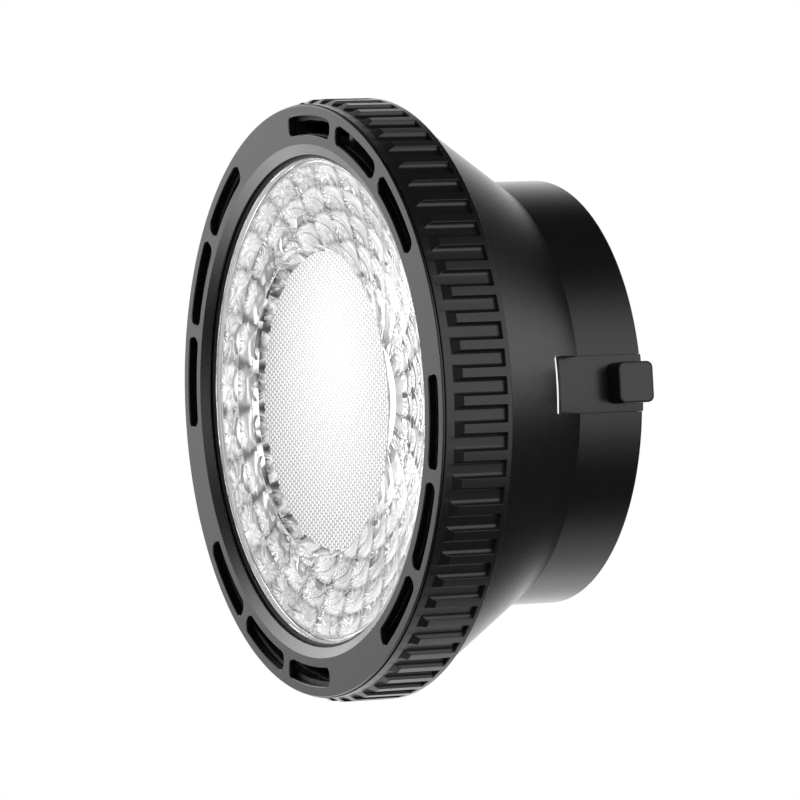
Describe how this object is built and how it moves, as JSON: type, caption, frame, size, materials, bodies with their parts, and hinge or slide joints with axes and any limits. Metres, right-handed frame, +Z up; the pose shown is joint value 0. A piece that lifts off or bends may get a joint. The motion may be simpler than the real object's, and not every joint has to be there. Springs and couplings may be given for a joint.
{
  "type": "fresnel spotlight head",
  "caption": "Detachable focusing lens head for a studio light: clear moulded lens, vented bezel, ribbed focus ring, cone and latching barrel.",
  "frame": {"origin": "centre of the rear rim of the barrel, on the optical axis", "axes": "+Y along the optical axis towards the light that it mounts on, so the lens faces -Y; +Z up; the latch is on the +X side"},
  "size_m": [0.11, 0.048, 0.1098],
  "materials": {
    "satin_black": "fine satin moulded black",
    "ring_black": "satin black, ribbed grip",
    "dark_polymer": "matt black nylon",
    "slip_polymer": "natural acetal, smooth",
    "black_metal": "black anodised aluminium",
    "steel": "plain bright steel",
    "rubber": "soft matt black",
    "clear_lens": "optical clear moulding, polished"
  },
  "bodies": {
    "housing": {"cone_housing": "satin_black", "front_bezel": "satin_black", "guide_tube": "dark_polymer", "front_frame": "dark_polymer", "frame_screw_1": "steel", "frame_screw_2": "steel", "frame_screw_3": "steel", "frame_screw_4": "steel", "drag_washer": "steel", "slip_washer": "slip_polymer", "bayonet_ring": "black_metal", "bayonet_screw_1": "steel", "bayonet_screw_2": "steel", "bayonet_screw_3": "steel", "bayonet_screw_4": "steel", "latch_guide": "dark_polymer", "guide_screw_1": "steel", "guide_screw_2": "steel", "latch_spring": "steel"},
    "focus_ring_body": {"focus_ring": "ring_black"},
    "carrier": {"lens_carrier": "dark_polymer", "tir_lens": "clear_lens", "lens_gasket": "rubber", "lens_retainer": "dark_polymer", "cam_pin_1": "steel", "cam_pin_2": "steel", "cam_pin_3": "steel", "cam_sleeve_1": "slip_polymer", "cam_sleeve_2": "slip_polymer", "cam_sleeve_3": "slip_polymer"},
    "latch": {"latch_plate": "satin_black", "latch_knob": "satin_black", "latch_screw": "steel", "latch_tooth": "steel"}
  },
  "joints": [
    {"name": "focus_turn", "type": "hinge", "parent": "housing", "child": "focus_ring_body", "pos_m": [0, -0.041, 0], "axis": [0, 1, 0], "range_deg": [0, 60]},
    {"name": "lens_slide", "type": "slide", "parent": "housing", "child": "carrier", "axis": [0, 1, 0], "range_m": [0, 0.0045]},
    {"name": "latch_slide", "type": "slide", "parent": "housing", "child": "latch", "axis": [0, -1, 0], "range_m": [0, 0.0025], "stiffness_N_per_m": 400, "springref_m": -0.0015, "deforming": ["latch_spring"]}
  ],
  "couplings": [
    {"joint": "lens_slide", "follows": "focus_turn", "m_per_rad": 0.0042972}
  ]
}
